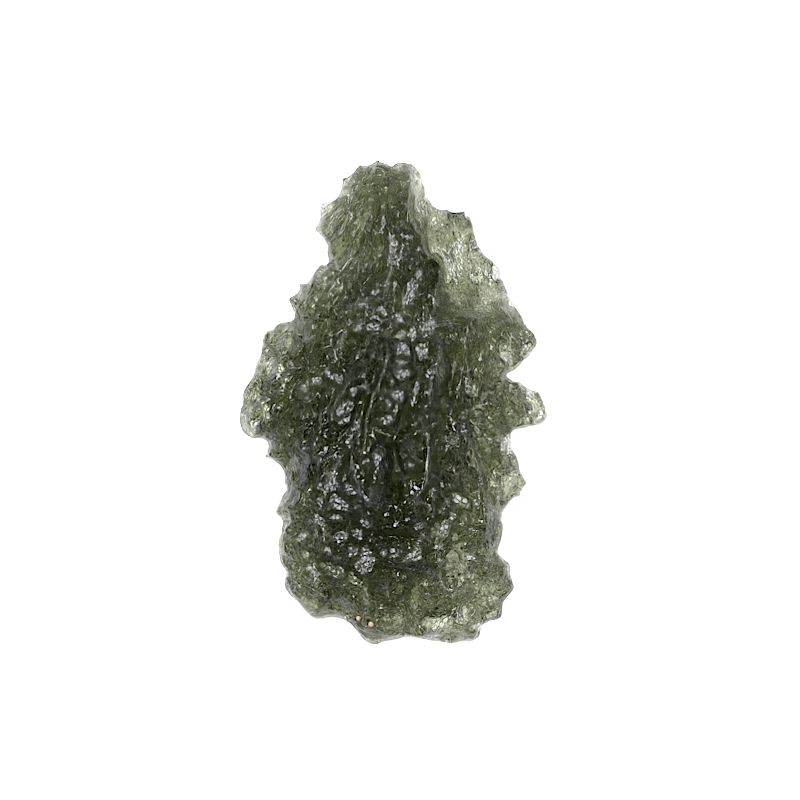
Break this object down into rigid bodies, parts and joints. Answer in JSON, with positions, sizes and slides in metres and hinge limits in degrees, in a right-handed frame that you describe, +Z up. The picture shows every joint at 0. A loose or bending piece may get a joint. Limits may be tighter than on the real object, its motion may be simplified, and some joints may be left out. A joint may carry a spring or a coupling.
{
  "type": "moldavite",
  "caption": "Ragged piece of green natural glass with a sculpted, etched surface and thin translucent edges, lying flat on its back.",
  "frame": {"origin": "middle of the outline's box, on the plane that the stone rests on", "axes": "+Y along the stone's length towards its crown, +Z up through its thickness from the flat resting spot, +X across it towards the thin flake and the two lobes"},
  "size_m": [0.0206, 0.0322, 0.0094],
  "materials": {
    "moldavite_glass": "translucent bottle-green natural glass with an etched, satin skin"
  },
  "bodies": {
    "root": {"moldavite": "moldavite_glass"}
  },
  "joints": []
}
